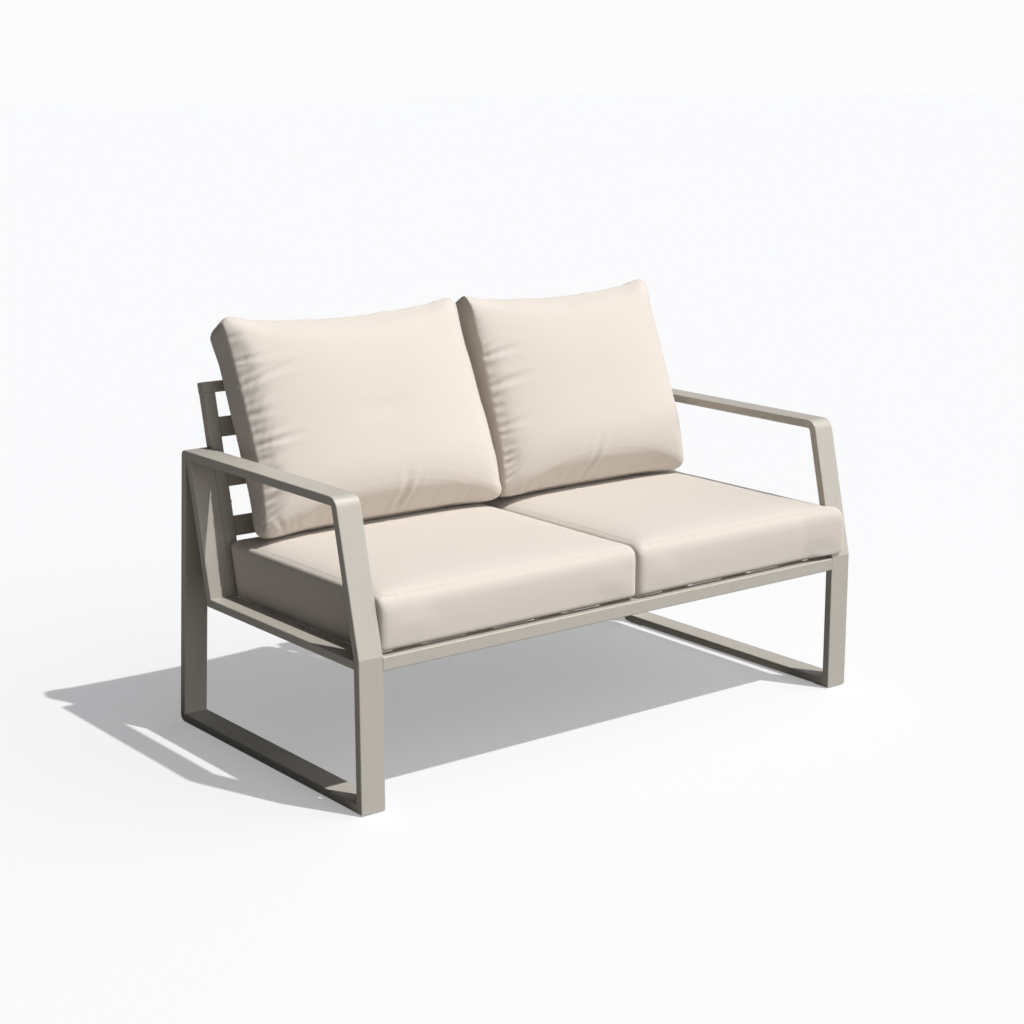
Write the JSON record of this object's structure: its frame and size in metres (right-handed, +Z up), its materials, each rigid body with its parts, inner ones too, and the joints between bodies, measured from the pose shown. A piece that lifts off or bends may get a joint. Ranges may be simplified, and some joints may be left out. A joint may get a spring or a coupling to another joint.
{
  "type": "garden sofa",
  "caption": "Garden loveseat: welded flat-tube aluminium side frames, slatted seat and reclined slatted back, with loose boxed seat and back cushions that lift off.",
  "frame": {"origin": "on the floor under the middle of the sofa", "axes": "+X along the width to the viewer's right, +Y to the back, +Z up; the sitter faces -Y"},
  "size_m": [1.44, 0.772, 0.9575],
  "materials": {
    "frame_powder_coat": "fine-textured matt powder coat, warm taupe grey",
    "glide_rubber": "matt black rubber",
    "fastener_steel": "stainless steel",
    "cover_fabric": "cream outdoor woven polyester",
    "zip_plastic": "moulded coil zip in the colour of the cover",
    "cushion_filling": "white foam and fibre"
  },
  "bodies": {
    "frame": {"back_frame_bolts": "fastener_steel", "back_slat_1": "frame_powder_coat", "back_slat_2": "frame_powder_coat", "back_slat_3": "frame_powder_coat", "back_slat_4": "frame_powder_coat", "back_top_rail": "frame_powder_coat", "front_seat_rail": "frame_powder_coat", "left_arm_post": "frame_powder_coat", "left_armrest": "frame_powder_coat", "left_back_post": "frame_powder_coat", "left_back_strut": "frame_powder_coat", "left_front_glide": "glide_rubber", "left_front_post": "frame_powder_coat", "left_rear_glide": "glide_rubber", "left_rear_leg": "frame_powder_coat", "left_runner": "frame_powder_coat", "left_side_seat_rail": "frame_powder_coat", "rear_seat_rail": "frame_powder_coat", "right_arm_post": "frame_powder_coat", "right_armrest": "frame_powder_coat", "right_back_post": "frame_powder_coat", "right_back_strut": "frame_powder_coat", "right_front_glide": "glide_rubber", "right_front_post": "frame_powder_coat", "right_rear_glide": "glide_rubber", "right_rear_leg": "frame_powder_coat", "right_runner": "frame_powder_coat", "right_side_seat_rail": "frame_powder_coat", "rivet_nuts": "fastener_steel", "seat_corner_brackets": "fastener_steel", "seat_frame_bolts": "fastener_steel", "seat_slat_1": "frame_powder_coat", "seat_slat_2": "frame_powder_coat", "seat_slat_3": "frame_powder_coat", "seat_slat_4": "frame_powder_coat", "seat_slat_5": "frame_powder_coat", "seat_slat_6": "frame_powder_coat", "seat_slat_7": "frame_powder_coat"},
    "left_seat_cushion": {"left_seat_cushion_cover": "cover_fabric", "left_seat_cushion_filling": "cushion_filling", "left_seat_cushion_zip": "zip_plastic"},
    "left_back_cushion": {"left_back_cushion_cover": "cover_fabric", "left_back_cushion_filling": "cushion_filling", "left_back_cushion_zip": "zip_plastic"},
    "right_seat_cushion": {"right_seat_cushion_cover": "cover_fabric", "right_seat_cushion_filling": "cushion_filling", "right_seat_cushion_zip": "zip_plastic"},
    "right_back_cushion": {"right_back_cushion_cover": "cover_fabric", "right_back_cushion_filling": "cushion_filling", "right_back_cushion_zip": "zip_plastic"}
  },
  "joints": [
    {"name": "left_seat_cushion_lift", "type": "slide", "parent": "frame", "child": "left_seat_cushion", "axis": [0, 0, 1], "range_m": [0, 0.5]},
    {"name": "left_back_cushion_lift", "type": "slide", "parent": "left_seat_cushion", "child": "left_back_cushion", "axis": [0, 0, 1], "range_m": [0, 0.4]},
    {"name": "right_seat_cushion_lift", "type": "slide", "parent": "frame", "child": "right_seat_cushion", "axis": [0, 0, 1], "range_m": [0, 0.5]},
    {"name": "right_back_cushion_lift", "type": "slide", "parent": "right_seat_cushion", "child": "right_back_cushion", "axis": [0, 0, 1], "range_m": [0, 0.4]}
  ]
}
